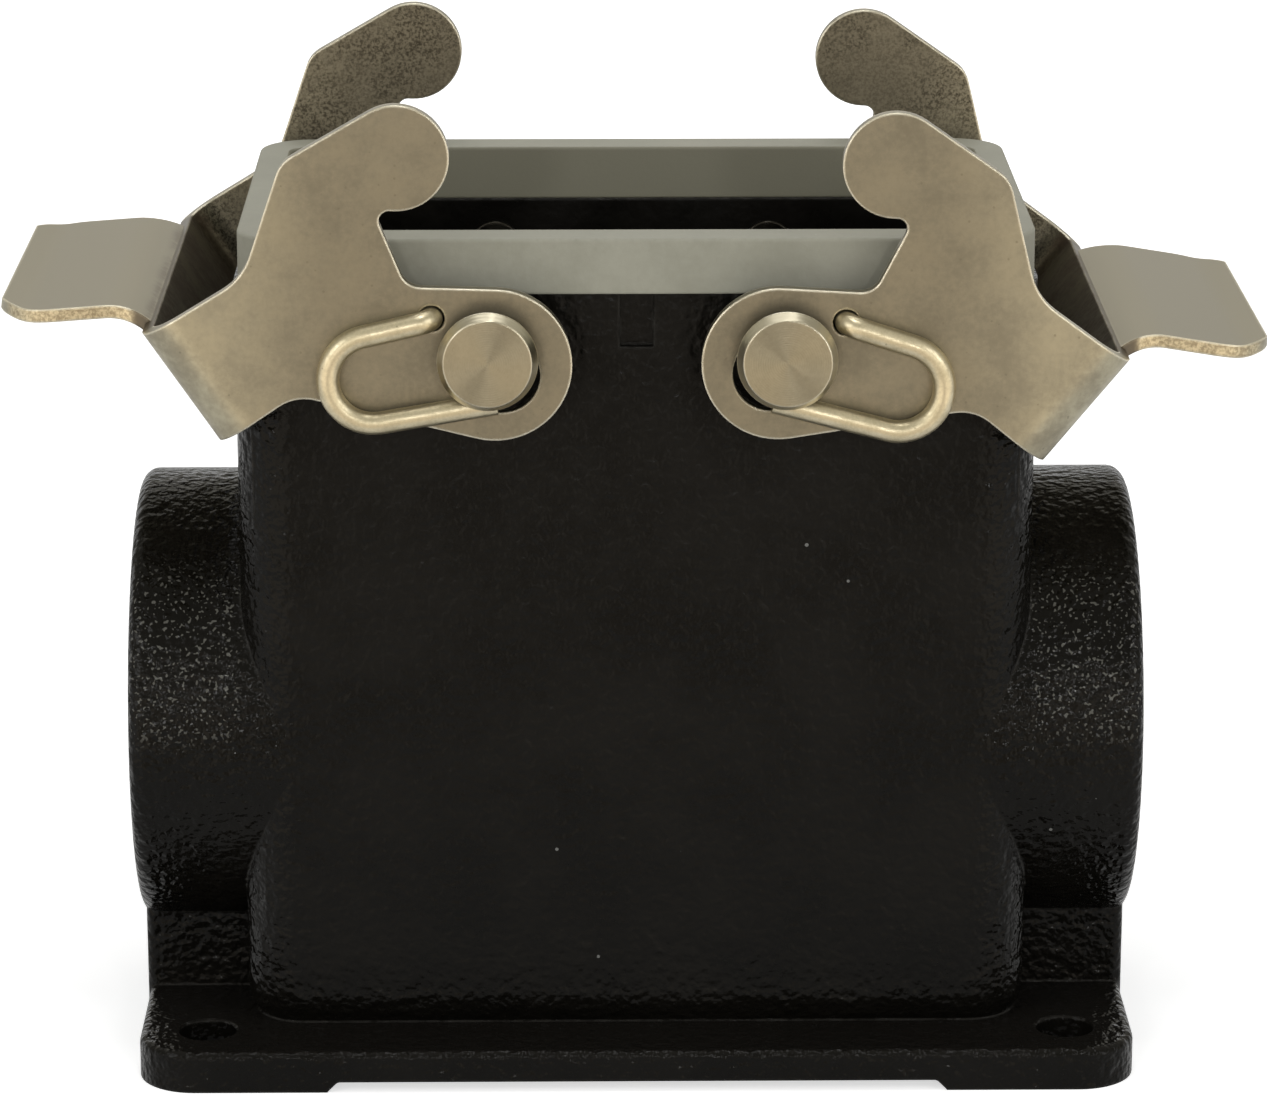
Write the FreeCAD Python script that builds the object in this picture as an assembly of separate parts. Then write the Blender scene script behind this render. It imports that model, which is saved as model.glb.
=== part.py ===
"""Surface-mounted base housing of a rectangular heavy-duty connector, in millimetres.

A tall die-cast box stands on a four-hole flange, with a round threaded cable entry at each end.
A seal sits on the open rim, and two bent sheet-metal levers turn on riveted pins to lock a hood.
Frame: origin at the centre of the mounting face, +X to the right, -Y to the front, +Z up.
"""
import FreeCAD
import Part
import math
import os

# Body of the casting
body_length = 73.0
body_depth = 43.0
body_corner_radius = 5.5
wall = 3.1
floor_thickness = 4.0
rim_height = 74.3
foot_round = 5.4
foot_round_top = 6.9
keyway_width = 3.05
keyway_height = 5.2
keyway_depth = 0.8

# Mounting flange
flange_length = 92.6
flange_depth = 57.0
flange_thickness = 3.9
flange_corner_radius = 5.4
flange_edge_round = 0.7
foot_height = 1.0
foot_gap_length = 55.4
foot_step_round = 0.6
fixing_spacing_x = 80.0
fixing_spacing_y = 44.8
fixing_hole_radius = 2.65
fixing_chamfer = 0.15

# Cable entries
entry_height = 30.0
entry_length = 93.8
entry_edge_round = 1.5
entry_thread_radius = 15.25
entry_chamfer = 1.0
pedestal_length = 93.1
pedestal_depth = 21.4
pedestal_edge_round = 0.9

# Posts for the contact insert
insert_screw_spacing_x = 57.0
insert_screw_spacing_y = 27.0
insert_post_below_rim = 8.8
insert_post_height = 13.0
insert_post_radius = 3.4
insert_screw_radius = 1.65
insert_screw_depth = 9.0

# Rim seal
seal_length = 72.0
seal_depth = 45.7
seal_height = 5.05
seal_side_band = 4.1
seal_end_band = 3.0
seal_corner_radius = 5.0
seal_edge_round = 0.3
rim_rib_width = 1.2
rim_rib_height = 2.0
rim_rib_play = 0.1

# Pivot pins
pin_spacing = 26.6
pin_below_rim = 4.7
pin_pad_radius = 4.45
pin_tail_radius = 2.0
pin_tail_play = 0.02
pin_shank_radius = 3.3
pin_neck_radius = 3.05
pin_head_radius = 4.5
pin_face_radius = 3.93
pin_head_thickness = 1.1
pin_upset_radius = 2.5
pin_upset_thickness = 0.45

# Locking levers, drawn locked: x runs outwards from the pin, z upwards, bridge upright
sheet = 1.2
lever_inner_width = 51.4
lever_side_play = 0.1
bend_inner_radius = 2.8
bridge_seal_gap = 0.95
bridge_bottom = 6.7
bridge_top = 18.6
bridge_stop_gap = 0.14
bridge_relief_width = 40.4
bridge_relief_round = 1.2
eye_drop = 1.07
eye_radius = 6.9
eye_slot_radius = 3.45
eye_top_slope = 36.0
eye_bottom_slope = 48.2
web_bottom_round = 4.0
throat_bottom_x = 2.42
throat_slope = 102.0
throat_bottom_round = 2.0
throat_top_round = 0.95
nose_x = -3.45
nose_z = 19.3
nose_radius = 4.73
nose_end_angle = 307.0
hook_top_slope = 4.3
hook_shoulder_x = 5.17
hook_shoulder_round = 3.0
shoulder_slope = -37.0
web_top_dip = 0.55
web_top_round = 6.0
tab_slope = 30.1
tab_width = 37.6
tab_length = 13.3
tab_root = 0.6
tab_root_flare = 5.6
tab_bend_radius = 6.0
tab_corner_radius = 5.5
tab_lip_length = 2.6
tab_lip_turn = 16.0
tab_lip_radius = 5.0
right_open_angle = 39.3
left_open_angle = 34.3

# Lever springs, bent from round wire, in the frame of the lever
wire_diameter = 2.06
wire_play = 0.05
spring_hole_x = 2.2
spring_hole_z = 5.65
spring_hole_radius = 1.2
spring_loop_x = 9.5
spring_loop_z = 4.2
spring_loop_radius = 4.0
spring_neck_play = 0.09
spring_tail_past_neck = 0.1
spring_hook_radius = 1.3
spring_tail_inside = 0.8

# Places worked out from the driving sizes
body_half_x = body_length / 2
body_half_y = body_depth / 2
pin_x = pin_spacing / 2
pin_z = rim_height - pin_below_rim
insert_post_top = rim_height - insert_post_below_rim
cheek_inner_y = lever_inner_width / 2
cheek_outer_y = cheek_inner_y + sheet
pad_face_y = cheek_inner_y - lever_side_play
wire_radius = wire_diameter / 2
wire_y = cheek_outer_y + wire_play + wire_radius
bridge_inner_x = seal_length / 2 + bridge_seal_gap - pin_x
bridge_outer_x = bridge_inner_x + sheet
bend_outer_radius = bend_inner_radius + sheet

X_AXIS = FreeCAD.Vector(1, 0, 0)
Y_AXIS = FreeCAD.Vector(0, 1, 0)
Z_AXIS = FreeCAD.Vector(0, 0, 1)
ORIGIN = FreeCAD.Vector(0, 0, 0)


def in_xy(x, y):
    """Place a flat point in the XY plane."""
    return FreeCAD.Vector(x, y, 0)


def in_xz(x, z):
    """Place a flat point in the XZ plane."""
    return FreeCAD.Vector(x, 0, z)


def in_yz(y, z):
    """Place a flat point in the YZ plane."""
    return FreeCAD.Vector(0, y, z)


def polar(centre, radius, angle):
    """Return the flat point at an angle in degrees on a circle."""
    turn = math.radians(angle)
    return (centre[0] + radius * math.cos(turn), centre[1] + radius * math.sin(turn))


def arc_edge(centre, radius, start, end, place):
    """Return the arc of a flat circle from one angle to another, in degrees."""
    ends = [place(*polar(centre, radius, angle)) for angle in (start, (start + end) / 2, end)]
    return Part.Arc(*ends).toShape()


def rounded_path(corners, place):
    """Join corners (a, b, radius) by lines and tangent arcs; the first and last stay sharp."""
    edges = []
    last = place(corners[0][0], corners[0][1])
    for before, corner, after in zip(corners, corners[1:], corners[2:]):
        tip = place(corner[0], corner[1])
        back = (place(before[0], before[1]) - tip).normalize()
        ahead = (place(after[0], after[1]) - tip).normalize()
        radius = corner[2]
        if radius > 0:
            half = back.getAngle(ahead) / 2
            inward = (back + ahead).normalize()
            start = tip + back * (radius / math.tan(half))
            middle = tip + inward * (radius / math.sin(half) - radius)
            end = tip + ahead * (radius / math.tan(half))
            edges.append(Part.LineSegment(last, start).toShape())
            edges.append(Part.Arc(start, middle, end).toShape())
            last = end
        else:
            edges.append(Part.LineSegment(last, tip).toShape())
            last = tip
    edges.append(Part.LineSegment(last, place(corners[-1][0], corners[-1][1])).toShape())
    return edges


def crossing(first, first_angle, second, second_angle):
    """Return the flat point where two lines meet, each given by a point and an angle in degrees."""
    a = polar((0, 0), 1, first_angle)
    b = polar((0, 0), 1, second_angle)
    gap = (second[0] - first[0], second[1] - first[1])
    reach = (gap[0] * b[1] - gap[1] * b[0]) / (a[0] * b[1] - a[1] * b[0])
    return polar(first, reach, first_angle)


def face_of(edges):
    """Make a face from edges given in order round its outline."""
    return Part.Face(Part.Wire(edges))


def closed_face(corners, place):
    """Make a face from rounded corners, starting half way along the last side."""
    first = corners[0]
    last = corners[-1]
    start = ((first[0] + last[0]) / 2, (first[1] + last[1]) / 2, 0)
    return face_of(rounded_path([start] + corners + [start], place))


def rounded_rectangle(half_a, half_b, radius, place):
    """Make a face centred on the plane's origin, with round corners."""
    return closed_face(
        [
            (half_a, -half_b, radius),
            (half_a, half_b, radius),
            (-half_a, half_b, radius),
            (-half_a, -half_b, radius),
        ],
        place,
    )


def slab(half_x, half_y, radius, bottom, top):
    """Make an upright block with round vertical corners."""
    block = rounded_rectangle(half_x, half_y, radius, in_xy).extrude(Z_AXIS * (top - bottom))
    return block.translated(Z_AXIS * bottom)


def box(low, high):
    """Make a plain block between two corners."""
    size = [high[i] - low[i] for i in range(3)]
    return Part.makeBox(size[0], size[1], size[2], FreeCAD.Vector(*low))


def turned(corners):
    """Turn a profile of (radius, distance) corners about the Y axis."""
    edges = rounded_path(corners + [corners[0]], in_xy)
    return face_of(edges).revolve(ORIGIN, Y_AXIS, 360)


def edges_at_height(shape, height):
    """List the level edges of a shape at one height."""
    tolerance = 0.001
    return [
        edge
        for edge in shape.Edges
        if abs(edge.BoundBox.ZMin - height) < tolerance and abs(edge.BoundBox.ZMax - height) < tolerance
    ]


def both_ways(shape, normal):
    """Fuse a shape with its mirror image about a plane through the origin."""
    return shape.fuse(shape.mirror(ORIGIN, normal))


def make_body_block():
    """Make the outside of the tall box, rounded at its foot."""
    foot = foot_round_top - foot_round
    block = slab(body_half_x, body_half_y, body_corner_radius, foot, rim_height)
    return block.makeFillet(min(foot_round, body_corner_radius - 0.1), edges_at_height(block, foot))


def make_flange():
    """Make the flange with softened upper edges."""
    block = slab(flange_length / 2, flange_depth / 2, flange_corner_radius, 0, flange_thickness)
    return block.makeFillet(flange_edge_round, edges_at_height(block, flange_thickness))


def make_entry_boss():
    """Make the round boss that runs along X through the body and stands out at both ends."""
    half = entry_length / 2
    radius = body_half_y
    edges = rounded_path(
        [
            (0, 0, 0),
            (half, 0, 0),
            (half, radius, entry_edge_round),
            (0, radius, 0),
            (0, 0, 0),
        ],
        in_xz,
    )
    boss = face_of(edges).revolve(ORIGIN, X_AXIS, 360)
    return both_ways(boss, X_AXIS).translated(Z_AXIS * entry_height)


def make_pedestal():
    """Make the block that carries both bosses down to the flange."""
    half_x = pedestal_length / 2
    half_y = pedestal_depth / 2
    return slab(half_x, half_y, pedestal_edge_round, foot_height, entry_height)


def make_pin_pads():
    """Make the four round pads that carry the pins out to the lever cheeks."""
    pads = []
    for side in (-1, 1):
        pad = Part.makeCylinder(
            pin_pad_radius, 2 * pad_face_y, FreeCAD.Vector(side * pin_x, -pad_face_y, pin_z), Y_AXIS
        )
        pads.append(pad)
    return pads


def make_cavity():
    """Make the space inside the body, open at the rim."""
    return slab(
        body_half_x - wall,
        body_half_y - wall,
        body_corner_radius - wall,
        floor_thickness,
        rim_height + rim_rib_height + 1,
    )


def make_entry_bores():
    """Make the two threaded passages from the cavity to the outside, chamfered at the mouth."""
    half = entry_length / 2
    start = body_half_x - wall - 1
    radius = entry_thread_radius
    edges = rounded_path(
        [
            (start, 0, 0),
            (start, radius, 0),
            (half - entry_chamfer, radius, 0),
            (half + 1, radius + entry_chamfer + 1, 0),
            (half + 1, 0, 0),
            (start, 0, 0),
        ],
        in_xz,
    )
    bore = face_of(edges).revolve(ORIGIN, X_AXIS, 360)
    return both_ways(bore, X_AXIS).translated(Z_AXIS * entry_height)


def make_insert_post(side_x, side_y):
    """Make one corner post, tapered into the wall below, that the contact insert is screwed to."""
    x = insert_screw_spacing_x / 2
    y = insert_screw_spacing_y / 2
    reach_x = body_half_x - wall / 2
    reach_y = body_half_y - wall / 2
    inner_x = x - insert_post_radius
    inner_y = y - insert_post_radius
    outline = closed_face(
        [
            (inner_x, inner_y, insert_post_radius),
            (reach_x, inner_y, 0),
            (reach_x, reach_y, 0),
            (inner_x, reach_y, 0),
        ],
        in_xy,
    )
    low = insert_post_top - insert_post_height
    post = outline.extrude(Z_AXIS * insert_post_height).translated(Z_AXIS * low)
    taper = reach_x - inner_x
    wedge = face_of(
        rounded_path(
            [
                (inner_x - 1, low - 1, 0),
                (reach_x, low - 1, 0),
                (inner_x - 1, low + taper, 0),
                (inner_x - 1, low - 1, 0),
            ],
            in_xz,
        )
    )
    wedge = wedge.extrude(Y_AXIS * body_depth)
    post = post.cut(wedge)
    hole = Part.makeCylinder(
        insert_screw_radius, insert_screw_depth, FreeCAD.Vector(x, y, insert_post_top - insert_screw_depth)
    )
    post = post.cut(hole)
    if side_x < 0:
        post = post.mirror(ORIGIN, X_AXIS)
    if side_y < 0:
        post = post.mirror(ORIGIN, Y_AXIS)
    return post


def rim_rib_halves(extra):
    """Return half sizes and corner radius of the rib's outline, grown by extra."""
    inset = wall / 2 - rim_rib_width / 2
    half_x = body_half_x - inset + extra
    half_y = body_half_y - inset + extra
    return half_x, half_y, body_corner_radius - inset + extra


def make_rim_rib(play, height):
    """Make the low rib along the rim, or with play the groove that fits over it."""
    outside = slab(*rim_rib_halves(play), rim_height, rim_height + height)
    inside = slab(*rim_rib_halves(-rim_rib_width - play), rim_height - 1, rim_height + height + 1)
    return outside.cut(inside)


def make_flange_cuts():
    """Make the fixing holes and the raised stretch between the two feet."""
    cuts = []
    for side_x in (-1, 1):
        for side_y in (-1, 1):
            place = FreeCAD.Vector(side_x * fixing_spacing_x / 2, side_y * fixing_spacing_y / 2, -1)
            cuts.append(Part.makeCylinder(fixing_hole_radius, flange_thickness + 2, place))
            top = FreeCAD.Vector(place.x, place.y, flange_thickness - fixing_chamfer)
            reach = fixing_hole_radius + 2 * fixing_chamfer
            cuts.append(Part.makeCone(fixing_hole_radius, reach, 2 * fixing_chamfer, top))
    half_gap = foot_gap_length / 2
    gap = closed_face(
        [
            (-half_gap - foot_height, -1, 0),
            (half_gap + foot_height, -1, 0),
            (half_gap + foot_height, 0, foot_step_round),
            (half_gap, foot_height, foot_step_round),
            (-half_gap, foot_height, foot_step_round),
            (-half_gap - foot_height, 0, foot_step_round),
        ],
        in_xz,
    )
    cuts.append(gap.extrude(Y_AXIS * (flange_depth + 2)).translated(Y_AXIS * (-flange_depth / 2 - 1)))
    return cuts


def make_keyway():
    """Make the shallow upright recess at the top of the front wall."""
    low = (-keyway_width / 2, -body_half_y - 1, rim_height - keyway_height)
    high = (keyway_width / 2, -body_half_y + keyway_depth, rim_height + 1)
    return box(low, high)


def make_housing_casting():
    """Make the die casting: box, flange, bosses, pedestal, pin pads, rim rib and insert posts."""
    solid = make_body_block().fuse([make_flange(), make_entry_boss(), make_pedestal()] + make_pin_pads())
    solid = solid.removeSplitter()
    solid = solid.cut([make_cavity(), make_entry_bores()])
    posts = [make_insert_post(side_x, side_y) for side_x in (-1, 1) for side_y in (-1, 1)]
    solid = solid.fuse(posts + [make_rim_rib(0, rim_rib_height)])
    tails = []
    for side in (-1, 1):
        start = FreeCAD.Vector(side * pin_x, -body_depth, pin_z)
        tails.append(Part.makeCylinder(pin_tail_radius + pin_tail_play, 2 * body_depth, start, Y_AXIS))
    solid = solid.cut(make_flange_cuts() + tails + [make_keyway()])
    return solid.removeSplitter()


def make_rim_seal():
    """Make the seal, a flat-topped ring with a groove below that grips the rim rib."""
    top = rim_height + seal_height
    half_x = seal_length / 2
    half_y = seal_depth / 2
    ring = slab(half_x, half_y, seal_corner_radius, rim_height, top)
    inner_radius = max(seal_corner_radius - seal_end_band, seal_edge_round)
    hole = slab(half_x - seal_end_band, half_y - seal_side_band, inner_radius, rim_height - 1, top + 1)
    ring = ring.cut(hole)
    ring = ring.makeFillet(seal_edge_round, edges_at_height(ring, top))
    return ring.cut(make_rim_rib(rim_rib_play, rim_rib_height + rim_rib_play))


def make_pin():
    """Make one turned pin pointing to +Y: tail, upset end, shank, neck for the spring, and head."""
    inner = body_half_y - wall
    neck_end = cheek_outer_y + 2 * wire_play + wire_diameter + wire_play
    face = neck_end + pin_head_thickness
    return turned(
        [
            (0, inner - pin_upset_thickness, 0),
            (pin_upset_radius, inner - pin_upset_thickness, 0.2),
            (pin_upset_radius, inner, 0),
            (pin_tail_radius, inner, 0),
            (pin_tail_radius, pad_face_y, 0),
            (pin_shank_radius, pad_face_y, 0),
            (pin_shank_radius, cheek_outer_y, 0),
            (pin_neck_radius, cheek_outer_y, 0),
            (pin_neck_radius, neck_end, 0),
            (pin_head_radius, neck_end, 0),
            (pin_face_radius, face, 0.15),
            (0, face, 0),
        ]
    )


def cheek_outline():
    """Make the side outline of the lever: eye, throat, nose, shoulder and web."""
    eye = (0, -eye_drop)
    nose = (nose_x, nose_z)
    eye_top = polar(eye, eye_radius, eye_top_slope + 90)
    eye_bottom = polar(eye, eye_radius, eye_bottom_slope - 90)
    nose_end = polar(nose, nose_radius, nose_end_angle)
    climb = math.tan(math.radians(eye_top_slope))
    throat_bottom = (throat_bottom_x, eye_top[1] + (throat_bottom_x - eye_top[0]) * climb)
    throat_top = crossing(throat_bottom, throat_slope, nose_end, nose_end_angle + 90)
    throat = rounded_path(
        [
            (eye_top[0], eye_top[1], 0),
            (throat_bottom[0], throat_bottom[1], throat_bottom_round),
            (throat_top[0], throat_top[1], throat_top_round),
            (nose_end[0], nose_end[1], 0),
        ],
        in_xz,
    )
    nose_top = polar(nose, nose_radius, hook_top_slope + 90)
    shoulder_z = nose_top[1] + (hook_shoulder_x - nose_top[0]) * math.tan(math.radians(hook_top_slope))
    web_top_z = bridge_top - web_top_dip
    web_top_x = hook_shoulder_x + (web_top_z - shoulder_z) / math.tan(math.radians(shoulder_slope))
    web_bottom_x = eye_bottom[0] + (bridge_bottom - eye_bottom[1]) / math.tan(math.radians(eye_bottom_slope))
    web = rounded_path(
        [
            (nose_top[0], nose_top[1], 0),
            (hook_shoulder_x, shoulder_z, hook_shoulder_round),
            (web_top_x, web_top_z, web_top_round),
            (bridge_outer_x, bridge_top, 0),
            (bridge_outer_x, bridge_bottom, 0),
            (web_bottom_x, bridge_bottom, web_bottom_round),
            (eye_bottom[0], eye_bottom[1], 0),
        ],
        in_xz,
    )
    edges = list(throat)
    edges.append(arc_edge(nose, nose_radius, nose_end_angle, hook_top_slope + 90, in_xz))
    edges.extend(web)
    edges.append(arc_edge(eye, eye_radius, eye_bottom_slope - 90, eye_top_slope - 270, in_xz))
    return face_of(edges)


def make_channel():
    """Make the bent sheet as an endless U-shaped channel: two cheeks, two bends and the bridge."""
    far = -cheek_outer_y
    outside = [
        (far, -cheek_outer_y, 0),
        (bridge_outer_x, -cheek_outer_y, bend_outer_radius),
        (bridge_outer_x, cheek_outer_y, bend_outer_radius),
        (far, cheek_outer_y, 0),
        (far, cheek_inner_y, 0),
        (bridge_inner_x, cheek_inner_y, bend_inner_radius),
        (bridge_inner_x, -cheek_inner_y, bend_inner_radius),
        (far, -cheek_inner_y, 0),
    ]
    height = 4 * cheek_outer_y
    return closed_face(outside, in_xy).extrude(Z_AXIS * height).translated(Z_AXIS * (-height / 2))


def make_tab():
    """Make the thumb tab: a strip bent outwards from the bridge's top, with a lip turned up."""
    slope = math.radians(tab_slope)
    lip_slope = math.radians(tab_slope + tab_lip_turn)
    under_z = bridge_top + tab_root
    along = (math.cos(slope), math.sin(slope))
    lip_along = (math.cos(lip_slope), math.sin(lip_slope))
    flat = tab_length - tab_lip_length
    under_lip = (bridge_outer_x + flat * along[0], under_z + flat * along[1])
    under_end = (under_lip[0] + tab_lip_length * lip_along[0], under_lip[1] + tab_lip_length * lip_along[1])
    end = (under_end[0] - sheet * lip_along[1], under_end[1] + sheet * lip_along[0])
    half_turn = math.radians(tab_lip_turn / 2)
    lip_side = (-math.sin(slope + half_turn), math.cos(slope + half_turn))
    lip_depth = sheet / math.cos(half_turn)
    over_lip = (under_lip[0] + lip_depth * lip_side[0], under_lip[1] + lip_depth * lip_side[1])
    root_turn = math.radians((90 - tab_slope) / 2)
    over_z = under_z + sheet * math.tan(root_turn)
    root_z = bridge_top - tab_bend_radius
    section = face_of(
        rounded_path(
            [
                (bridge_outer_x, root_z, 0),
                (bridge_outer_x, under_z, tab_bend_radius),
                (under_lip[0], under_lip[1], tab_lip_radius + sheet),
                (under_end[0], under_end[1], 0),
                (end[0], end[1], 0),
                (over_lip[0], over_lip[1], tab_lip_radius),
                (bridge_inner_x, over_z, tab_bend_radius + sheet),
                (bridge_inner_x, root_z, 0),
                (bridge_outer_x, root_z, 0),
            ],
            in_xz,
        )
    )
    bend_back = (tab_bend_radius + sheet) * math.sin(2 * root_turn)
    bend_back -= tab_bend_radius * math.tan(root_turn)
    half_width = tab_width / 2
    half_root = cheek_outer_y - bend_outer_radius
    half_cut = half_width + 2 * tab_root_flare
    strip = section.extrude(Y_AXIS * (2 * half_root)).translated(Y_AXIS * -half_root)
    outline = closed_face(
        [
            (-tab_length, -half_cut, 0),
            (0, -half_cut, 0),
            (0, -half_width, tab_root_flare),
            (bend_back + tab_length, -half_width, tab_corner_radius),
            (bend_back + tab_length, half_width, tab_corner_radius),
            (0, half_width, tab_root_flare),
            (0, half_cut, 0),
            (-tab_length, half_cut, 0),
        ],
        in_xy,
    )
    plan = outline.extrude(Z_AXIS * (2 * tab_length)).translated(Z_AXIS * -tab_length)
    plan.translate(X_AXIS * -bend_back)
    plan.rotate(ORIGIN, Y_AXIS, -tab_slope)
    plan.translate(FreeCAD.Vector(bridge_outer_x, 0, under_z))
    return strip.common(plan)


def make_eye_slot():
    """Make the cutter for the eyes: an upright slot that lets the lever lift against its springs."""
    low = -2 * eye_drop
    length = 4 * cheek_outer_y
    top_end = Part.makeCylinder(eye_slot_radius, length, Y_AXIS * (-length / 2), Y_AXIS)
    low_end = top_end.translated(Z_AXIS * low)
    middle = box((-eye_slot_radius, -length / 2, low), (eye_slot_radius, length / 2, 0))
    return top_end.fuse([low_end, middle])


def bridge_relief_height():
    """Work out where the bridge's lower edge stops short of the body's end when wide open."""
    turn = math.radians(right_open_angle)
    end_wall = body_half_x - pin_x + bridge_stop_gap
    return (end_wall - bridge_inner_x * math.cos(turn)) / math.sin(turn)


def make_lever():
    """Make one lever in its own frame: pin axis at the origin, locked."""
    side = cheek_outline().extrude(Y_AXIS * (4 * cheek_outer_y)).translated(Y_AXIS * (-2 * cheek_outer_y))
    lever = make_channel().common(side).fuse(make_tab())
    spring_hole = Part.makeCylinder(
        spring_hole_radius,
        4 * cheek_outer_y,
        FreeCAD.Vector(spring_hole_x, -2 * cheek_outer_y, spring_hole_z),
        Y_AXIS,
    )
    relief_top = bridge_relief_height()
    relief_low = bridge_bottom - 2 * bridge_relief_round
    half_height = (relief_top - relief_low) / 2
    relief = rounded_rectangle(bridge_relief_width / 2, half_height, bridge_relief_round, in_yz)
    relief = relief.extrude(X_AXIS * (3 * sheet))
    relief.translate(FreeCAD.Vector(bridge_inner_x - sheet, 0, relief_low + half_height))
    return lever.cut([make_eye_slot(), spring_hole, relief]).removeSplitter()


def make_spring():
    """Make one wire spring in its lever's frame, on the +Y cheek."""
    neck_line = pin_neck_radius + spring_neck_play + wire_radius
    loop = (spring_loop_x, spring_loop_z)
    to_loop = (spring_loop_x - spring_hole_x, spring_loop_z - spring_hole_z)
    upper_slope = math.degrees(
        math.atan2(to_loop[1], to_loop[0]) + math.asin(spring_loop_radius / math.hypot(*to_loop))
    )
    lower_slope = math.degrees(
        math.atan2(spring_loop_z, spring_loop_x)
        - math.asin((spring_loop_radius - neck_line) / math.hypot(spring_loop_x, spring_loop_z))
    )
    loop_start = polar(loop, spring_loop_radius, upper_slope + 90)
    loop_middle = polar(loop, spring_loop_radius, (upper_slope + lower_slope) / 2)
    loop_end = polar(loop, spring_loop_radius, lower_slope - 90)
    neck = polar((0, 0), neck_line, lower_slope - 90)
    tail = polar(neck, spring_tail_past_neck, lower_slope + 180)

    def flat(point):
        return FreeCAD.Vector(point[0], wire_y, point[1])

    hook = FreeCAD.Vector(spring_hole_x, 0, spring_hole_z)
    along = in_xz(*polar((0, 0), 1, upper_slope))
    inside = hook + Y_AXIS * (cheek_inner_y - spring_tail_inside)
    hook_start = hook + Y_AXIS * (wire_y - spring_hook_radius)
    hook_end = hook + Y_AXIS * wire_y + along * spring_hook_radius
    sagitta = spring_hook_radius * (1 - math.sqrt(0.5))
    hook_middle = hook + Y_AXIS * (wire_y - sagitta) + along * sagitta
    path = Part.Wire(
        [
            Part.LineSegment(inside, hook_start).toShape(),
            Part.Arc(hook_start, hook_middle, hook_end).toShape(),
            Part.LineSegment(hook_end, flat(loop_start)).toShape(),
            Part.Arc(flat(loop_start), flat(loop_middle), flat(loop_end)).toShape(),
            Part.LineSegment(flat(loop_end), flat(tail)).toShape(),
        ]
    )
    section = Part.Wire(Part.makeCircle(wire_radius, inside, Y_AXIS))
    return path.makePipeShell([section], True, True)


def place_set(shape, open_angle, left):
    """Turn a shape of a lever set open, and move it to its pin at the right or the left."""
    placed = shape.copy()
    placed.rotate(ORIGIN, Y_AXIS, open_angle)
    placed.translate(FreeCAD.Vector(pin_x, 0, pin_z))
    if left:
        placed = placed.mirror(ORIGIN, X_AXIS)
    return placed


def build():
    """Make every piece and return them by name."""
    pieces = {"housing_casting": make_housing_casting(), "rim_seal": make_rim_seal()}
    pin = make_pin()
    lever = make_lever()
    spring = make_spring()
    for side, left, angle in (("left", True, left_open_angle), ("right", False, right_open_angle)):
        pieces[side + "_lever"] = place_set(lever, angle, left)
        for end in ("front", "rear"):
            side_pin = pin if end == "rear" else pin.mirror(ORIGIN, Y_AXIS)
            side_spring = spring if end == "rear" else spring.mirror(ORIGIN, Y_AXIS)
            pieces[side + "_" + end + "_pin"] = place_set(side_pin, 0, left)
            pieces[side + "_" + end + "_spring"] = place_set(side_spring, angle, left)
    return pieces


def main():
    """Write one file for each piece."""
    os.makedirs("parts", exist_ok=True)
    for name, shape in build().items():
        solid = shape.Solids[0] if len(shape.Solids) == 1 else shape
        solid.exportStep(os.path.join("parts", name + ".step"))
        print(name, len(shape.Solids), "solid, volume", round(shape.Volume, 2), "valid", shape.isValid())


main()
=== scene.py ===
"""Looks of the connector base housing: finishes, entry threads, floor, light and camera."""

import math

import bpy
from mathutils import Matrix, Vector


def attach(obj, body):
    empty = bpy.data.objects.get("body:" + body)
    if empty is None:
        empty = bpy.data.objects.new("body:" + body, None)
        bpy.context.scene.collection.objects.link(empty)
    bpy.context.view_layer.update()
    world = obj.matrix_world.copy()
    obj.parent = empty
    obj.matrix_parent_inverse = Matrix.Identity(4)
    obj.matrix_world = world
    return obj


MM = 0.001

# Colours of the light and of what mirrors show, by direction
WHITE = (1.0, 1.0, 1.0, 1.0)
LIGHT_FROM_ABOVE = (0.36, 0.36, 0.36, 1.0)
LIGHT_FROM_BELOW = (0.86, 0.84, 0.80, 1.0)
ROOM_MIDDLE = (0.56, 0.475, 0.38, 1.0)
ROOM_SIDES = (1.50, 1.34, 1.12, 1.0)
CEILING = (0.55, 0.53, 0.46, 1.0)

# Camera, worked out from the photograph's own outlines
IMAGE_WIDTH = 1268
FOCAL_PIXELS = 5042.64
SENSOR_WIDTH = 36.0
CAMERA_PLACE = Vector((-5.201, -463.110, 176.278)) * MM
CAMERA_TURN = -0.01124
CAMERA_DOWN = 0.27796

# Pins, and the bends where the thumb tabs leave the bridges, in millimetres
PIN_X = 13.3
PIN_Z = 69.6
BEND_X = 43.3
BEND_Z = 70.3

# Cable entries, in millimetres
ENTRY_Z = 30.0
ENTRY_INNER_X = 33.4
ENTRY_OUTER_X = 45.8
ENTRY_RADIUS = 15.25
THREAD_PITCH = 1.5
THREAD_DEPTH = 0.55
THREAD_ROOT_SUNK = 0.03


# Small helpers for node trees

def link(tree, source, target):
    """Join an output socket to an input socket."""
    tree.links.new(source, target)


def math_node(tree, operation, first, second=0.0, clamp=False):
    """Add a maths node fed by sockets or numbers, and return its output."""
    node = tree.nodes.new("ShaderNodeMath")
    node.operation = operation
    node.use_clamp = clamp
    for socket, value in zip(node.inputs, (first, second)):
        if isinstance(value, (int, float)):
            socket.default_value = value
        else:
            link(tree, value, socket)
    return node.outputs[0]


def product(tree, first, second):
    """Multiply two masks or numbers."""
    return math_node(tree, "MULTIPLY", first, second)


def opposite(tree, mask):
    """Turn a mask round, so that 1 becomes 0."""
    return math_node(tree, "SUBTRACT", 1.0, mask)


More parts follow.
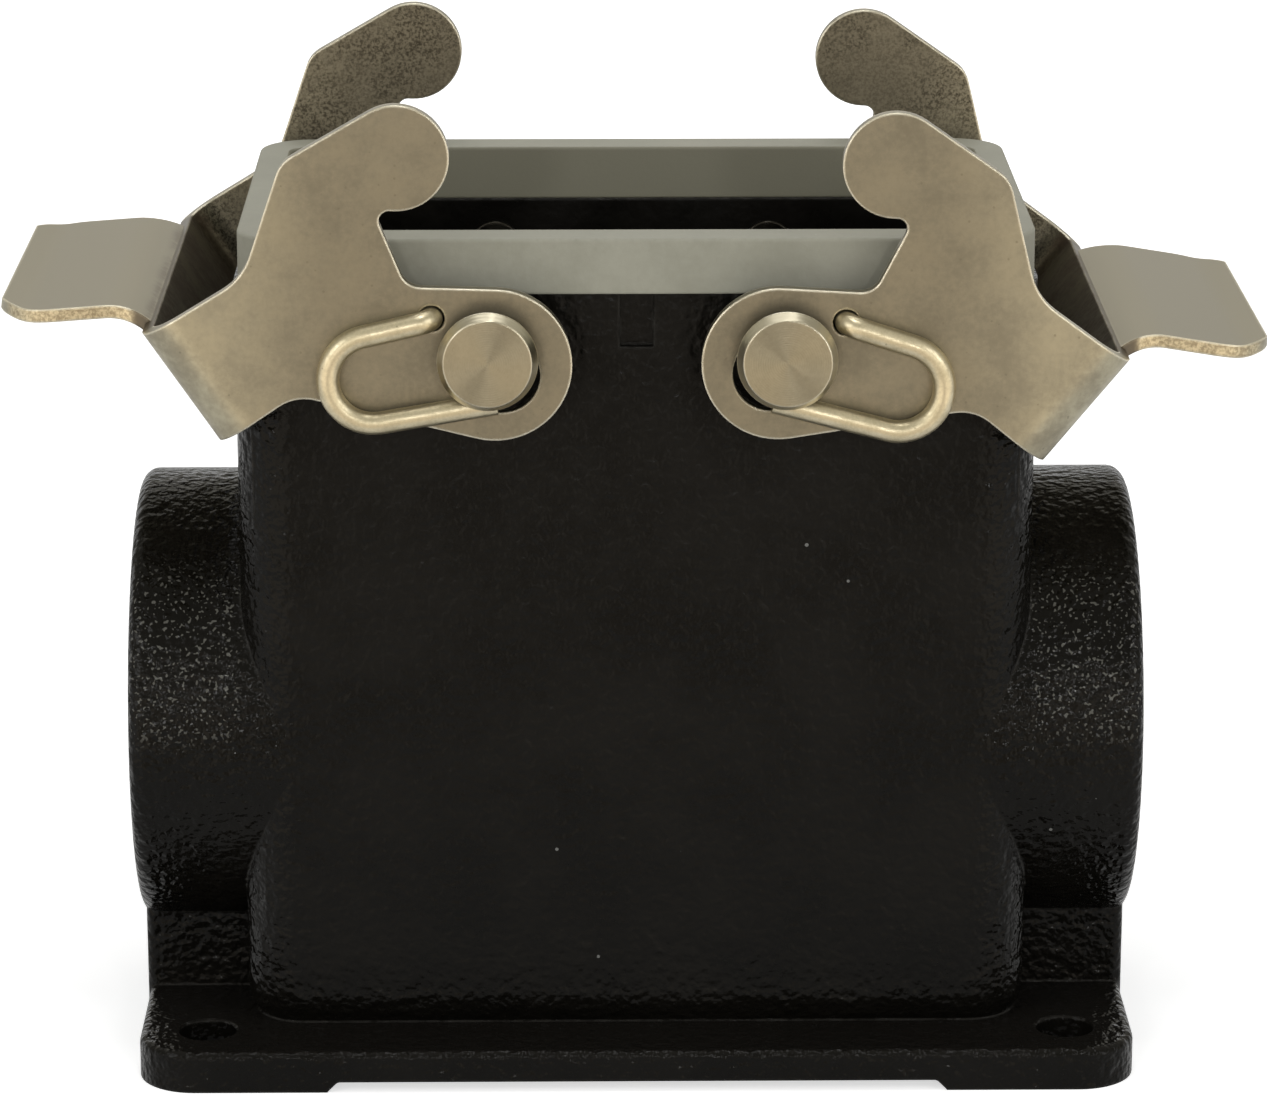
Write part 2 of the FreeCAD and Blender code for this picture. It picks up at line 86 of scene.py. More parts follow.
def distance_from(tree, value, middle=0.0):
    """Return how far a value is from a middle, on either side."""
    if middle:
        value = math_node(tree, "SUBTRACT", value, middle)
    return math_node(tree, "ABSOLUTE", value)


def vector_node(tree, operation, first, second=(0.0, 0.0, 0.0)):
    """Add a vector maths node fed by sockets or vectors, and return its output."""
    node = tree.nodes.new("ShaderNodeVectorMath")
    node.operation = operation
    for socket, value in zip(node.inputs, (first, second)):
        if isinstance(value, (tuple, Vector)):
            socket.default_value = value
        else:
            link(tree, value, socket)
    gives_number = operation in ("LENGTH", "DOT_PRODUCT")
    return node.outputs["Value" if gives_number else "Vector"]


def map_range(tree, value, low, high, to_low=0.0, to_high=1.0):
    """Add a clamped, smooth map range node and return its output."""
    node = tree.nodes.new("ShaderNodeMapRange")
    node.interpolation_type = "SMOOTHSTEP"
    node.inputs["From Min"].default_value = low
    node.inputs["From Max"].default_value = high
    node.inputs["To Min"].default_value = to_low
    node.inputs["To Max"].default_value = to_high
    link(tree, value, node.inputs["Value"])
    return node.outputs["Result"]


def fade(tree, place, start, end):
    """Rise smoothly from 0 to 1 between two places given in millimetres."""
    return map_range(tree, place, start * MM, end * MM)


def mix_values(tree, mask, at_zero, at_one):
    """Blend two numbers by a mask."""
    return map_range(tree, mask, 0.0, 1.0, at_zero, at_one)


def mix_colours(tree, mask, at_zero, at_one):
    """Blend two colours, given as sockets or RGBA values, and return the result."""
    node = tree.nodes.new("ShaderNodeMix")
    node.data_type = "RGBA"
    for index, value in ((0, mask), (6, at_zero), (7, at_one)):
        if isinstance(value, (int, float, tuple)):
            node.inputs[index].default_value = value
        else:
            link(tree, value, node.inputs[index])
    return node.outputs[2]


def noise(tree, point, scale, detail=2.0, roughness=0.5):
    """Add a noise texture and return its grey output."""
    node = tree.nodes.new("ShaderNodeTexNoise")
    node.inputs["Scale"].default_value = scale
    node.inputs["Detail"].default_value = detail
    node.inputs["Roughness"].default_value = roughness
    link(tree, point, node.inputs["Vector"])
    return node.outputs["Fac"]


def split(tree, vector):
    """Return the three parts of a vector."""
    node = tree.nodes.new("ShaderNodeSeparateXYZ")
    link(tree, vector, node.inputs["Vector"])
    return node.outputs["X"], node.outputs["Y"], node.outputs["Z"]


def read_surface(tree):
    """Return the sockets for a surface point and for the way the surface faces there."""
    node = tree.nodes.new("ShaderNodeTexCoord")
    return node.outputs["Object"], node.outputs["Normal"]


def facing_inward(tree, point, facing, start, end):
    """Return a mask of the walls that face the part's middle, by how far out they stand in mm."""
    level_facing = vector_node(tree, "MULTIPLY", facing, (1.0, 1.0, 0.0))
    outward = vector_node(tree, "DOT_PRODUCT", point, level_facing)
    return fade(tree, outward, -start, -end)


def bump(tree, height, distance, normal=None):
    """Raise a surface by a height socket, by at most a distance in metres."""
    node = tree.nodes.new("ShaderNodeBump")
    node.inputs["Strength"].default_value = 1.0
    node.inputs["Distance"].default_value = distance
    link(tree, height, node.inputs["Height"])
    if normal is not None:
        link(tree, normal, node.inputs["Normal"])
    return node.outputs["Normal"]


def new_group(name, inputs, outputs):
    """Start a shader node group with named sockets; return it with its two end nodes."""
    group = bpy.data.node_groups.new(name, "ShaderNodeTree")
    for label, kind, value in inputs:
        socket = group.interface.new_socket(name=label, in_out="INPUT", socket_type=kind)
        socket.default_value = value
    for label, kind in outputs:
        group.interface.new_socket(name=label, in_out="OUTPUT", socket_type=kind)
    return group, group.nodes.new("NodeGroupInput"), group.nodes.new("NodeGroupOutput")


def place_group(tree, group, **values):
    """Put a group into a tree with its own values."""
    node = tree.nodes.new("ShaderNodeGroup")
    node.node_tree = group
    for name, value in values.items():
        node.inputs[name.replace("_", " ")].default_value = value
    return node


def new_material(name, colour, metallic=0.0):
    """Start a material and return it with its tree and its principled shader."""
    material = bpy.data.materials.new(name)
    material.use_nodes = True
    material.diffuse_color = colour
    tree = material.node_tree
    shader = tree.nodes["Principled BSDF"]
    shader.inputs["Base Color"].default_value = colour
    shader.inputs["Metallic"].default_value = metallic
    return material, tree, shader


# Effects shared by more than one finish

def make_edge_round_and_highlight_group():
    """Softened edges: a rounded normal, and a mask that is 1 on edges that stand out, used for painted
    edge highlights.
    """
    group, start, end = new_group(
        "edge_round_and_highlight",
        [
            ("Radius", "NodeSocketFloat", 0.0003),
            ("Breakup", "NodeSocketFloat", 0.4),
            ("Gain", "NodeSocketFloat", 1.0),
        ],
        [("Normal", "NodeSocketVector"), ("Mask", "NodeSocketFloat")],
    )
    rounded = group.nodes.new("ShaderNodeBevel")
    rounded.samples = 6
    link(group, start.outputs["Radius"], rounded.inputs["Radius"])
    normal = rounded.outputs["Normal"]
    geometry = group.nodes.new("ShaderNodeNewGeometry")
    likeness = vector_node(group, "DOT_PRODUCT", normal, geometry.outputs["Normal"])
    difference = product(group, opposite(group, likeness), start.outputs["Gain"])
    # Edge mask, used by the finishes to paint highlights on edges
    edge = map_range(group, difference, 0.01, 0.16)
    point, _ = read_surface(group)
    patches = map_range(group, noise(group, point, 900.0, 3.0), 0.35, 0.65)
    kept = opposite(group, product(group, start.outputs["Breakup"], patches))
    link(group, normal, end.inputs["Normal"])
    link(group, math_node(group, "MULTIPLY", edge, kept, clamp=True), end.inputs["Mask"])
    return group


def make_mottle_group():
    """Cloudy patches at two sizes, for stains and uneven sheen."""
    fine_to_large = 6.3
    group, start, end = new_group(
        "mottle",
        [
            ("Scale", "NodeSocketFloat", 300.0),
            ("Fine Share", "NodeSocketFloat", 0.4),
        ],
        [("Value", "NodeSocketFloat")],
    )
    point, _ = read_surface(group)
    large = group.nodes.new("ShaderNodeTexNoise")
    large.inputs["Detail"].default_value = 3.0
    link(group, point, large.inputs["Vector"])
    link(group, start.outputs["Scale"], large.inputs["Scale"])
    fine = group.nodes.new("ShaderNodeTexNoise")
    fine.inputs["Detail"].default_value = 4.0
    fine.inputs["Roughness"].default_value = 0.65
    link(group, point, fine.inputs["Vector"])
    link(group, product(group, start.outputs["Scale"], fine_to_large), fine.inputs["Scale"])
    blend = group.nodes.new("ShaderNodeMix")
    blend.data_type = "FLOAT"
    link(group, start.outputs["Fine Share"], blend.inputs[0])
    link(group, large.outputs["Fac"], blend.inputs[2])
    link(group, fine.outputs["Fac"], blend.inputs[3])
    link(group, map_range(group, blend.outputs[0], 0.32, 0.68), end.inputs["Value"])
    return group


def make_speck_group():
    """Sparse small specks, for dust and pits: 1 inside a speck."""
    group, start, end = new_group(
        "specks",
        [
            ("Scale", "NodeSocketFloat", 400.0),
            ("Size", "NodeSocketFloat", 0.08),
            ("Share", "NodeSocketFloat", 0.15),
        ],
        [("Mask", "NodeSocketFloat")],
    )
    point, _ = read_surface(group)
    cells = group.nodes.new("ShaderNodeTexVoronoi")
    link(group, point, cells.inputs["Vector"])
    link(group, start.outputs["Scale"], cells.inputs["Scale"])
    tint = group.nodes.new("ShaderNodeSeparateColor")
    link(group, cells.outputs["Color"], tint.inputs["Color"])
    chosen = math_node(group, "LESS_THAN", tint.outputs["Red"], start.outputs["Share"])
    near = math_node(group, "LESS_THAN", cells.outputs["Distance"], start.outputs["Size"])
    link(group, product(group, chosen, near), end.inputs["Mask"])
    return group


# Finish of the casting

def boss_glints(tree, point, aside, z):
    """Return a mask of painted glints: fine high spots on a band round the outside of each boss."""
    band_z = 39.0
    band = fade(tree, distance_from(tree, z, band_z * MM), 9, 5)
    on_boss = fade(tree, aside, 36, 37)
    peaks = map_range(tree, noise(tree, point, 3300.0, 0.0), 0.66, 0.72)
    return product(tree, product(tree, band, on_boss), peaks)


def paint_grain(tree, point, facing, coarse):
    """Return the height of the paint's leathery grain, which is weak on walls and inside."""
    wall_share = 0.52
    inside_share = 0.25
    inside = facing_inward(tree, point, facing, 8, 16)
    share = product(
        tree,
        mix_values(tree, coarse, wall_share, 1.0),
        mix_values(tree, inside, 1.0, inside_share),
    )
    return product(tree, noise(tree, point, 1150.0, 1.5, 0.5), share)


def make_casting_paint(edge_round_and_highlight, mottle, specks):
    """Black paint over a die casting: fine on the walls, coarse and glinting on bosses and foot, with
    painted glints on the bosses and painted highlights along its edges.
    """
    black = (0.0036, 0.0032, 0.0024, 1.0)
    dusty = (0.0060, 0.0053, 0.0041, 1.0)
    # Paler colour for painted glints along the edges
    edge_glint_colour = (0.034, 0.032, 0.028, 1.0)
    foot_top_colour = (0.0088, 0.0078, 0.0064, 1.0)
    boss_glint_colour = (0.100, 0.097, 0.084, 1.0)
    speck = (0.16, 0.16, 0.15, 1.0)
    grain_height = 0.00036
    pore_height = 0.000014
    material, tree, shader = new_material("casting_paint", black)
    point, facing = read_surface(tree)
    x, _, z = split(tree, point)
    _, _, facing_z = split(tree, facing)
    edge = place_group(tree, edge_round_and_highlight, Radius=0.00045, Breakup=0.9)
    cloud = place_group(tree, mottle, Scale=120.0, Fine_Share=0.3)
    dust = place_group(tree, specks, Scale=260.0, Size=0.045, Share=0.10)

    aside = distance_from(tree, x)
    foot = fade(tree, z, 9, 5)
    coarse = math_node(tree, "MAXIMUM", fade(tree, aside, 29, 35), foot)
    foot_top = product(tree, foot, map_range(tree, facing_z, 0.5, 0.9))
    colour = mix_colours(tree, cloud.outputs["Value"], black, dusty)
    # A lighter tone on the upward faces of the foot
    colour = mix_colours(tree, foot_top, colour, foot_top_colour)
    # Painted highlight: paler specks along the edges stand in for glints of light
    colour = mix_colours(tree, edge.outputs["Mask"], colour, edge_glint_colour)
    # Painted highlight: pale glints on the high spots of a band round each boss
    colour = mix_colours(tree, boss_glints(tree, point, aside, z), colour, boss_glint_colour)
    colour = mix_colours(tree, dust.outputs["Mask"], colour, speck)
    link(tree, colour, shader.inputs["Base Color"])
    shader.inputs["Specular IOR Level"].default_value = 0.12

    grain = paint_grain(tree, point, facing, coarse)
    pores = noise(tree, point, 3200.0, 2.0, 0.6)
    normal = bump(tree, grain, grain_height, edge.outputs["Normal"])
    link(tree, bump(tree, pores, pore_height, normal), shader.inputs["Normal"])
    roughness = mix_values(tree, coarse, 0.30, 0.14)
    uneven = mix_values(tree, cloud.outputs["Value"], 0.85, 1.2)
    link(tree, product(tree, roughness, uneven), shader.inputs["Roughness"])
    return material


# Finish of the seal

def make_seal_rubber(edge_round_and_highlight, mottle, specks):
    """Moulded grey rubber, matt, with painted shade on its inner faces, faint clouding and a few pale
    specks.
    """
    grey = (0.280, 0.275, 0.218, 1.0)
    pale = (0.340, 0.332, 0.268, 1.0)
    inner_shade = (0.205, 0.196, 0.142, 1.0)
    speck = (0.42, 0.42, 0.38, 1.0)
    grain_height = 0.000016
    material, tree, shader = new_material("seal_rubber", grey)
    point, facing = read_surface(tree)
    edge = place_group(tree, edge_round_and_highlight, Radius=0.0003, Breakup=0.3)
    cloud = place_group(tree, mottle, Scale=160.0, Fine_Share=0.35)
    dust = place_group(tree, specks, Scale=500.0, Size=0.06, Share=0.05)

    colour = mix_colours(tree, cloud.outputs["Value"], grey, pale)
    # Painted shade: darker on the inner faces
    colour = mix_colours(tree, facing_inward(tree, point, facing, 8, 16), colour, inner_shade)
    colour = mix_colours(tree, dust.outputs["Mask"], colour, speck)
    link(tree, colour, shader.inputs["Base Color"])
    shader.inputs["Specular IOR Level"].default_value = 0.35
    link(tree, mix_values(tree, cloud.outputs["Value"], 0.52, 0.64), shader.inputs["Roughness"])
    grain = noise(tree, point, 2600.0, 3.0, 0.6)
    link(tree, bump(tree, grain, grain_height, edge.outputs["Normal"]), shader.inputs["Normal"])
    return material


# Finish of the levers

def tab_bend(tree, aside, y, z):
    """Return a mask of the bend where the thumb tab leaves the bridge."""
    near_in_x = fade(tree, distance_from(tree, aside, BEND_X * MM), 2.6, 2.1)
    near_in_z = fade(tree, distance_from(tree, z, BEND_Z * MM), 4.0, 3.0)
    within_tab = fade(tree, distance_from(tree, y), 24.0, 23.0)
    return product(tree, product(tree, near_in_x, near_in_z), within_tab)


def tone_sheet(tree, beige, aside, level, clouds):
    """Cloud the plated sheet, darken it towards the eyes, and give its level faces their own tone."""
    dull = (0.190, 0.170, 0.124, 1.0)
    middle_tone = (0.285, 0.256, 0.188, 1.0)
    level_tone = (0.300, 0.270, 0.198, 1.0)
    # Darker towards the eyes, lighter towards the bends
    towards_eyes = fade(tree, aside, 40, 26)
    pale_sheet = mix_colours(tree, towards_eyes, beige, middle_tone)
    dark_sheet = mix_colours(tree, towards_eyes, middle_tone, dull)
    clouded = mix_colours(tree, clouds, pale_sheet, dark_sheet)
    # Level faces get their own tone
    return mix_colours(tree, level, clouded, level_tone)


def shade_bridge(tree, colour, middleward, cloud, bend):
    """Paint brown shade on the bridge's inner face, and paint shade on the strip behind the tab's
    bend.
    """
    bridge_shade_colour = (0.110, 0.080, 0.058, 1.0)
    shaded = (0.150, 0.125, 0.090, 1.0)
    inner_face = fade(tree, middleward, -18, -26)
    bridge_shaded = product(tree, inner_face, mix_values(tree, cloud, 0.9, 0.35))
    # Painted shade: brown darkening of the bridge's inner face, which faces the casting
    colour = mix_colours(tree, bridge_shaded, colour, bridge_shade_colour)
    outer_face = fade(tree, middleward, 8, 16)
    return mix_colours(tree, product(tree, outer_face, bend), colour, shaded)


def darken_cheeks_inside(tree, colour, point, outward, stain):
    """Lay a grimy film with a fine grain on the inner faces of the cheeks, which also paints shade
    there.
    """
    grime_and_shade_colour = (0.060, 0.051, 0.037, 1.0)
    inner_face = fade(tree, outward, -10, -18)
    film = map_range(tree, stain, 0.85, 0.15, 0.45, 0.90)
    grain = map_range(tree, noise(tree, point, 3800.0, 4.0, 0.7), 0.60, 0.37)
    grimy_and_shaded = product(tree, inner_face, product(tree, film, grain))
    # Grime with grain, which also paints shade on the cheeks' inner faces
    return mix_colours(tree, grimy_and_shaded, colour, grime_and_shade_colour)


def bare_tab_edges(tree, colour, point, aside, facing_y, highlight_edges):
    """Show bare torn metal on the sheared edge faces of the thumb tab."""
    cut = (0.62, 0.54, 0.37, 1.0)
    burr = (0.34, 0.285, 0.19, 1.0)
    on_tab = fade(tree, aside, 45, 46)
    sideways = map_range(tree, distance_from(tree, facing_y), 0.5, 0.7)
    torn = map_range(tree, noise(tree, point, 3000.0, 3.0, 0.7), 0.36, 0.62)
    edge_face = product(tree, product(tree, on_tab, sideways), opposite(tree, highlight_edges))
    return mix_colours(tree, edge_face, colour, mix_colours(tree, torn, cut, burr))


def make_lever_sheet(edge_round_and_highlight, mottle, specks):
    """Stamped plated sheet: satin, clouded cheeks, clean tabs, grimy inner faces with painted shade,
    bright cut edges, and painted highlights on the other edges.
    """
    beige = (0.435, 0.398, 0.290, 1.0)
    edge_highlight_colour = (0.90, 0.85, 0.70, 1.0)
    pit = (0.15, 0.13, 0.09, 1.0)
    pit_strength = 0.45
    wave_height = 0.00003
    grain_height = 0.000008
    material, tree, shader = new_material("lever_sheet", beige, 1.0)
    point, facing = read_surface(tree)
    x, y, z = split(tree, point)
    facing_x, facing_y, facing_z = split(tree, facing)
    edge = place_group(tree, edge_round_and_highlight, Radius=0.00034, Breakup=0.2, Gain=1.9)
    cloud = place_group(tree, mottle, Scale=230.0, Fine_Share=0.42)
    stain = place_group(tree, mottle, Scale=150.0, Fine_Share=0.25)
    pits = place_group(tree, specks, Scale=1400.0, Size=0.16, Share=0.12)

    aside = distance_from(tree, x)
    bend = tab_bend(tree, aside, y, z)
    highlight_edges = product(tree, edge.outputs["Mask"], opposite(tree, bend))
    level = map_range(tree, facing_z, 0.75, 0.95)
    not_level = opposite(tree, level)
    clouds = opposite(tree, cloud.outputs["Value"])
    middleward = product(tree, x, facing_x)
    outward = product(tree, y, facing_y)
    pitted = product(tree, product(tree, pits.outputs["Mask"], not_level), pit_strength)
    colour = tone_sheet(tree, beige, aside, level, clouds)
    colour = shade_bridge(tree, colour, middleward, cloud.outputs["Value"], bend)
    colour = darken_cheeks_inside(tree, colour, point, outward, stain.outputs["Value"])
    colour = mix_colours(tree, pitted, colour, pit)
    # Painted highlight: edges brightened as if catching light
    colour = mix_colours(tree, highlight_edges, colour, edge_highlight_colour)
    colour = bare_tab_edges(tree, colour, point, aside, facing_y, highlight_edges)
    link(tree, colour, shader.inputs["Base Color"])

    uneven = product(tree, clouds, not_level)
    link(tree, mix_values(tree, uneven, 0.34, 0.44), shader.inputs["Roughness"])
    waves = product(tree, noise(tree, point, 420.0, 1.0), not_level)
    grain = product(tree, noise(tree, point, 2300.0, 3.0, 0.6), not_level)
    normal = bump(tree, waves, wave_height, edge.outputs["Normal"])
    link(tree, bump(tree, grain, grain_height, normal), shader.inputs["Normal"])
    return material


# Finish of the pins

def from_pin_axis(tree, x, z):
    """Return the vector from the nearer lever's pin axis to the surface point."""
    across = math_node(tree, "SUBTRACT", distance_from(tree, x), PIN_X * MM)
    up = math_node(tree, "SUBTRACT", z, PIN_Z * MM)
    join = tree.nodes.new("ShaderNodeCombineXYZ")
    link(tree, across, join.inputs["X"])
    link(tree, up, join.inputs["Z"])
    return join.outputs["Vector"]


def make_turned_pin(edge_round_and_highlight, mottle):
    """Turned steel with fine rings round the pin's own axis, painted highlights on its rims and edges,
    and black-painted inner ends.
    """
    steel = (0.370, 0.334, 0.244, 1.0)
    dull = (0.280, 0.250, 0.178, 1.0)
    edge_highlight_colour = (0.90, 0.86, 0.72, 1.0)
    rim_highlight = (0.560, 0.515, 0.395, 1.0)
    painted = (0.030, 0.027, 0.022, 1.0)
    ring_pitch = 0.00021
    ring_height = 0.0000025
    material, tree, shader = new_material("turned_pin", steel, 1.0)
    point, facing = read_surface(tree)
    x, y, z = split(tree, point)
    _, facing_y, _ = split(tree, facing)
    edge = place_group(tree, edge_round_and_highlight, Radius=0.00018, Breakup=0.1, Gain=1.6)
    cloud = place_group(tree, mottle, Scale=420.0, Fine_Share=0.4)

    rim = map_range(tree, distance_from(tree, facing_y), 0.97, 0.90)
    in_casting = fade(tree, distance_from(tree, y), 20.6, 20.2)
    colour = mix_colours(tree, cloud.outputs["Value"], dull, steel)
    # Painted highlight: a paler colour on the rims
    colour = mix_colours(tree, rim, colour, rim_highlight)
    # Painted highlight: a bright colour on the edges
    colour = mix_colours(tree, edge.outputs["Mask"], colour, edge_highlight_colour)
    colour = mix_colours(tree, in_casting, colour, painted)
    link(tree, colour, shader.inputs["Base Color"])
    link(tree, mix_values(tree, cloud.outputs["Value"], 0.36, 0.28), shader.inputs["Roughness"])

    radial = from_pin_axis(tree, x, z)
    radius = vector_node(tree, "LENGTH", radial)
    rings = math_node(tree, "SINE", product(tree, radius, 2 * math.pi / ring_pitch))
    link(tree, bump(tree, rings, ring_height, edge.outputs["Normal"]), shader.inputs["Normal"])
    shader.inputs["Anisotropic"].default_value = 0.75
    shader.inputs["Anisotropic Rotation"].default_value = 0.90
    link(tree, vector_node(tree, "NORMALIZE", radial), shader.inputs["Tangent"])
    return material


# Finish of the springs

def make_spring_wire(mottle, specks):
    """Drawn spring wire: smooth beige steel with faint clouding and small pits."""
    steel = (0.640, 0.570, 0.405, 1.0)
    dull = (0.460, 0.405, 0.272, 1.0)
    pit = (0.20, 0.17, 0.11, 1.0)
    pit_strength = 0.5
    grain_height = 0.000012
    material, tree, shader = new_material("spring_wire", steel, 1.0)
    point, _ = read_surface(tree)
    cloud = place_group(tree, mottle, Scale=520.0, Fine_Share=0.5)
    pits = place_group(tree, specks, Scale=1500.0, Size=0.15, Share=0.08)
    colour = mix_colours(tree, cloud.outputs["Value"], dull, steel)
    colour = mix_colours(tree, product(tree, pits.outputs["Mask"], pit_strength), colour, pit)
    link(tree, colour, shader.inputs["Base Color"])
    link(tree, mix_values(tree, cloud.outputs["Value"], 0.46, 0.34), shader.inputs["Roughness"])
    grain = noise(tree, point, 1800.0, 3.0)
    link(tree, bump(tree, grain, grain_height), shader.inputs["Normal"])
    return material


def dress(node, material):
    """Give a carried-over piece its finish."""
    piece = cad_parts[node]
    for slot in piece.material_slots:
        slot.material = material
    if not piece.material_slots:
        piece.data.materials.append(material)


# Cable entry threads

def thread_vertices(side, turns, steps):
    """Return the points of a helical ridge, one profile after another, in metres."""
    profile = ((-0.62, 0.0), (-0.12, 1.0), (0.12, 1.0), (0.62, 0.0))
    total = steps * turns
    fading_steps = steps / 3
    length = ENTRY_OUTER_X - ENTRY_INNER_X - THREAD_PITCH
    vertices = []
    for step in range(total + 1):
        angle = 2 * math.pi * step / steps
        along = ENTRY_INNER_X + THREAD_PITCH / 2 + length * step / total
        fading = min(1.0, step / fading_steps, (total - step) / fading_steps)
        for offset, rise in profile:
            height = (THREAD_DEPTH + THREAD_ROOT_SUNK) * rise * fading
            radius = ENTRY_RADIUS + THREAD_ROOT_SUNK - height
            x = side * (along + offset * THREAD_PITCH / 2)
            y = radius * math.cos(angle)
            z = ENTRY_Z + radius * math.sin(angle)
            vertices.append((x * MM, y * MM, z * MM))
    return vertices, len(profile)


def make_entry_thread(name, side, material):
    """Make the helical ridge inside one cable entry; side is -1 at the left and 1 at the right."""
    steps = 72
    turns = int((ENTRY_OUTER_X - ENTRY_INNER_X) / THREAD_PITCH)
    vertices, count = thread_vertices(side, turns, steps)
    faces = []
    for step in range(steps * turns):
        for index in range(count - 1):
            corner = step * count + index
            face = (corner, corner + 1, corner + count + 1, corner + count)
            faces.append(face if side > 0 else tuple(reversed(face)))
    mesh = bpy.data.meshes.new(name)
    mesh.from_pydata(vertices, [], faces)
    mesh.update()
    mesh.materials.append(material)
    piece = bpy.data.objects.new(name, mesh)
    bpy.context.scene.collection.objects.link(piece)
    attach(piece, "housing")


# Studio

def background_amount(tree):
    """Return a socket that is 1 for rays that show the white background, and 0 for light."""
    rays = tree.nodes.new("ShaderNodeLightPath")
    seen = math_node(tree, "MAXIMUM", rays.outputs["Is Camera Ray"], rays.outputs["Is Glossy Ray"])
    return math_node(tree, "MAXIMUM", seen, rays.outputs["Is Transmission Ray"])


def floor_glow(tree):
    """Return the floor's own white light: weak by the object, to keep its shadow, and more far off."""
    near_glow = 0.6
    far_glow = 0.95
    mirrored_glow = 0.2
    point, _ = read_surface(tree)
    rays = tree.nodes.new("ShaderNodeLightPath")
    shown = map_range(tree, vector_node(tree, "LENGTH", point), 0.12, 0.60, near_glow, far_glow)
    to_camera = product(tree, rays.outputs["Is Camera Ray"], shown)
    glow = tree.nodes.new("ShaderNodeEmission")
    glow.inputs["Color"].default_value = WHITE
    link(tree, math_node(tree, "MAXIMUM", to_camera, mirrored_glow), glow.inputs["Strength"])
    return glow.outputs["Emission"]


def make_floor():
    """Lay a plain white floor that keeps the object's shadow and ends a little in front of it."""
    half = 3.0
    front = -0.12
    paper = (0.82, 0.82, 0.81, 1.0)
    mesh = bpy.data.meshes.new("floor")
    corners = [(-half, front, 0), (half, front, 0), (half, half, 0), (-half, half, 0)]
    mesh.from_pydata(corners, [], [(0, 1, 2, 3)])
    floor = bpy.data.objects.new("floor", mesh)
    bpy.context.scene.collection.objects.link(floor)
    material, tree, shader = new_material("floor_paper", paper)
    shader.inputs["Roughness"].default_value = 0.9
    shader.inputs["Specular IOR Level"].default_value = 0.0
    both = tree.nodes.new("ShaderNodeAddShader")
    link(tree, shader.outputs["BSDF"], both.inputs[0])
    link(tree, floor_glow(tree), both.inputs[1])
    blend = tree.nodes.new("ShaderNodeMixShader")
    link(tree, background_amount(tree), blend.inputs["Fac"])
    link(tree, shader.outputs["BSDF"], blend.inputs[1])
    link(tree, both.outputs["Shader"], blend.inputs[2])
    link(tree, blend.outputs["Shader"], tree.nodes["Material Output"].inputs["Surface"])
    mesh.materials.append(material)


def make_world():
    """Light the object evenly, and show its mirrors a room before it and white behind."""
    world = bpy.data.worlds.new("studio")
    world.use_nodes = True
    bpy.context.scene.world = world
    tree = world.node_tree
    background = tree.nodes["Background"]
    x, y, z = split(tree, tree.nodes.new("ShaderNodeTexCoord").outputs["Generated"])
    aside = map_range(tree, distance_from(tree, x), 0.02, 0.36)
    behind = map_range(tree, y, -0.7, 0.1)
    above = map_range(tree, z, 0.05, 0.25)
    room = mix_colours(tree, aside, ROOM_MIDDLE, ROOM_SIDES)
    room = mix_colours(tree, behind, room, WHITE)
    room = mix_colours(tree, above, room, CEILING)
    rays = tree.nodes.new("ShaderNodeLightPath")
    seen = mix_colours(tree, rays.outputs["Is Camera Ray"], room, WHITE)
    rising = map_range(tree, z, -0.3, 0.3)
    even = mix_colours(tree, rising, LIGHT_FROM_BELOW, LIGHT_FROM_ABOVE)
    colour = mix_colours(tree, background_amount(tree), even, seen)
    link(tree, colour, background.inputs["Color"])
    background.inputs["Strength"].default_value = 1.0


def add_lamp(name, place, size, power):
    """Hang a square soft lamp that faces the object's middle."""
    aim = Vector((0.0, 0.0, 0.05))
    data = bpy.data.lights.new(name, "AREA")
    data.shape = "SQUARE"
    data.size = size
    data.energy = power
    lamp = bpy.data.objects.new(name, data)
    bpy.context.scene.collection.objects.link(lamp)
    place = Vector(place)
    turn = (aim - place).to_track_quat("-Z", "Y")
    lamp.matrix_world = Matrix.Translation(place) @ turn.to_matrix().to_4x4()


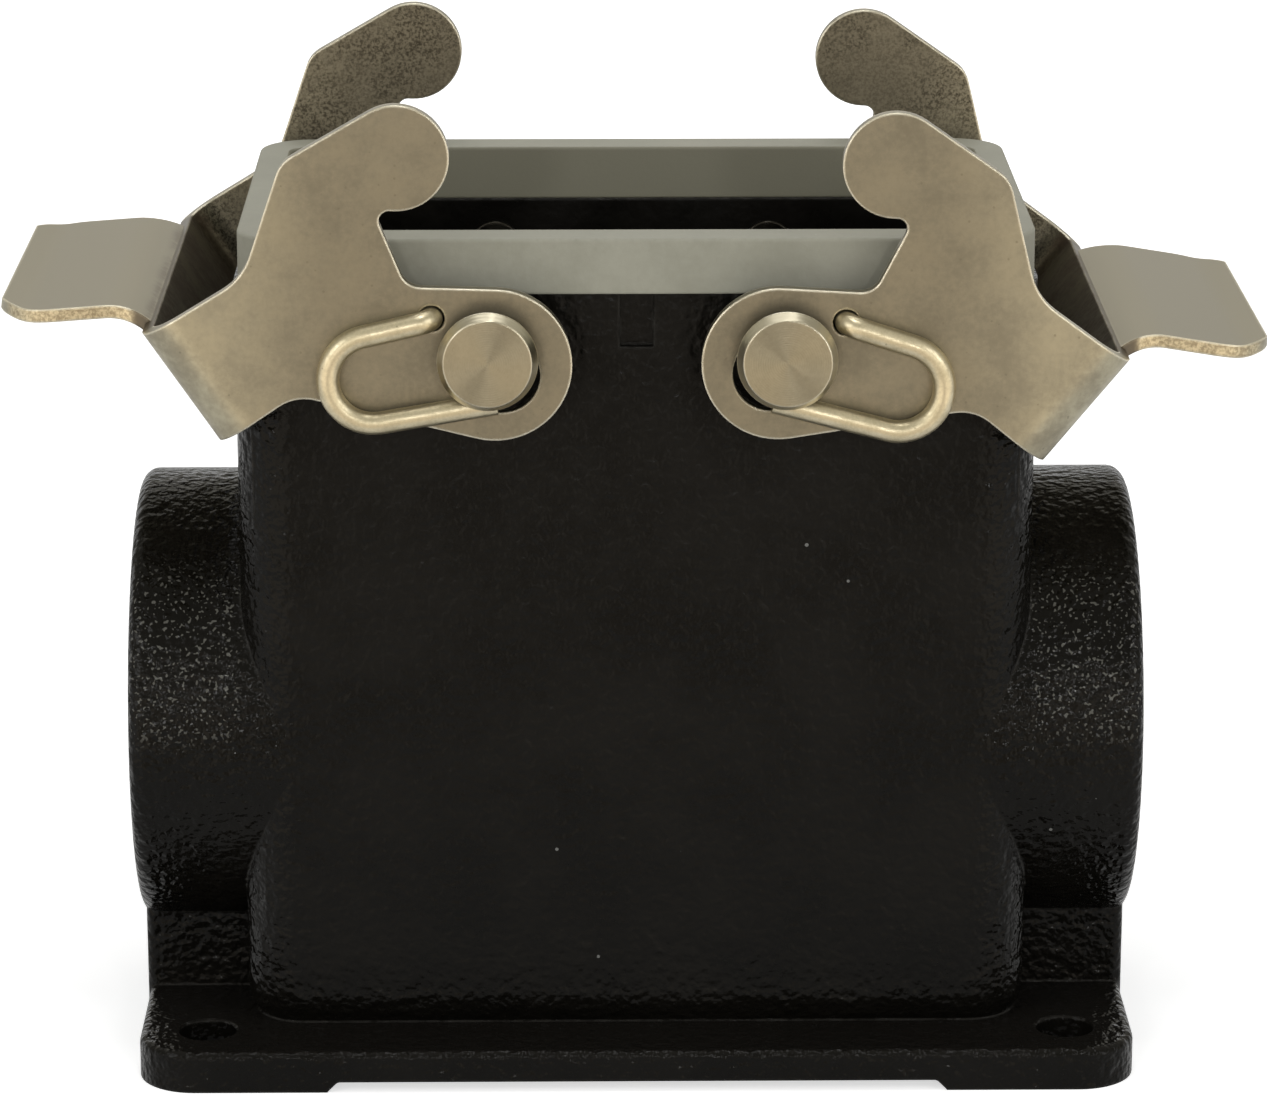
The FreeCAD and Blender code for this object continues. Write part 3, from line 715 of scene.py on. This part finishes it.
def make_lamps():
    """Light the object softly from both sides, above and behind, with two small lamps for glints."""
    for side in (-1, 1):
        add_lamp("softbox", place=(side * 0.50, -0.42, 0.34), size=0.30, power=0.9)
        add_lamp("glint_lamp", place=(side * 0.13, -0.57, 0.20), size=0.04, power=0.24)
    add_lamp("top_softbox", place=(0.0, -0.08, 0.62), size=0.13, power=0.55)
    add_lamp("back_softbox", place=(0.0, 0.34, 0.52), size=0.36, power=0.8)


def make_camera():
    """Stand the camera where the photograph was taken."""
    data = bpy.data.cameras.new("camera")
    data.sensor_fit = "HORIZONTAL"
    data.sensor_width = SENSOR_WIDTH
    data.lens = FOCAL_PIXELS * SENSOR_WIDTH / IMAGE_WIDTH
    data.clip_start = 0.01
    data.clip_end = 20.0
    camera = bpy.data.objects.new("camera", data)
    bpy.context.scene.collection.objects.link(camera)
    camera.location = CAMERA_PLACE
    camera.rotation_euler = (math.pi / 2 - CAMERA_DOWN, 0.0, CAMERA_TURN)
    bpy.context.scene.camera = camera


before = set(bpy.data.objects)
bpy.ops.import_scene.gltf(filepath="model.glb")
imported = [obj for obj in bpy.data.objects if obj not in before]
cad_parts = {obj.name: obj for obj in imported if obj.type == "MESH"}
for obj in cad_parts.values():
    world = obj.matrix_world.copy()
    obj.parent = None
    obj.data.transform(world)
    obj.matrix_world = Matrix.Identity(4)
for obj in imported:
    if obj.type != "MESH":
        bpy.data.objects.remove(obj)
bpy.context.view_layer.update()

edge_round_and_highlight_group = make_edge_round_and_highlight_group()
mottle_group = make_mottle_group()
speck_group = make_speck_group()

casting_paint = make_casting_paint(edge_round_and_highlight_group, mottle_group, speck_group)
seal_rubber = make_seal_rubber(edge_round_and_highlight_group, mottle_group, speck_group)
lever_sheet = make_lever_sheet(edge_round_and_highlight_group, mottle_group, speck_group)
turned_pin = make_turned_pin(edge_round_and_highlight_group, mottle_group)
spring_wire = make_spring_wire(mottle_group, speck_group)

dress("housing_casting", casting_paint)
dress("rim_seal", seal_rubber)
for hand in ("left", "right"):
    dress(hand + "_lever", lever_sheet)
    for end in ("front", "rear"):
        dress(hand + "_" + end + "_pin", turned_pin)
        dress(hand + "_" + end + "_spring", spring_wire)

make_entry_thread("left_entry_thread", -1, casting_paint)
make_entry_thread("right_entry_thread", 1, casting_paint)

make_floor()
make_world()
make_lamps()
make_camera()

bpy.context.scene.view_settings.view_transform = "Standard"
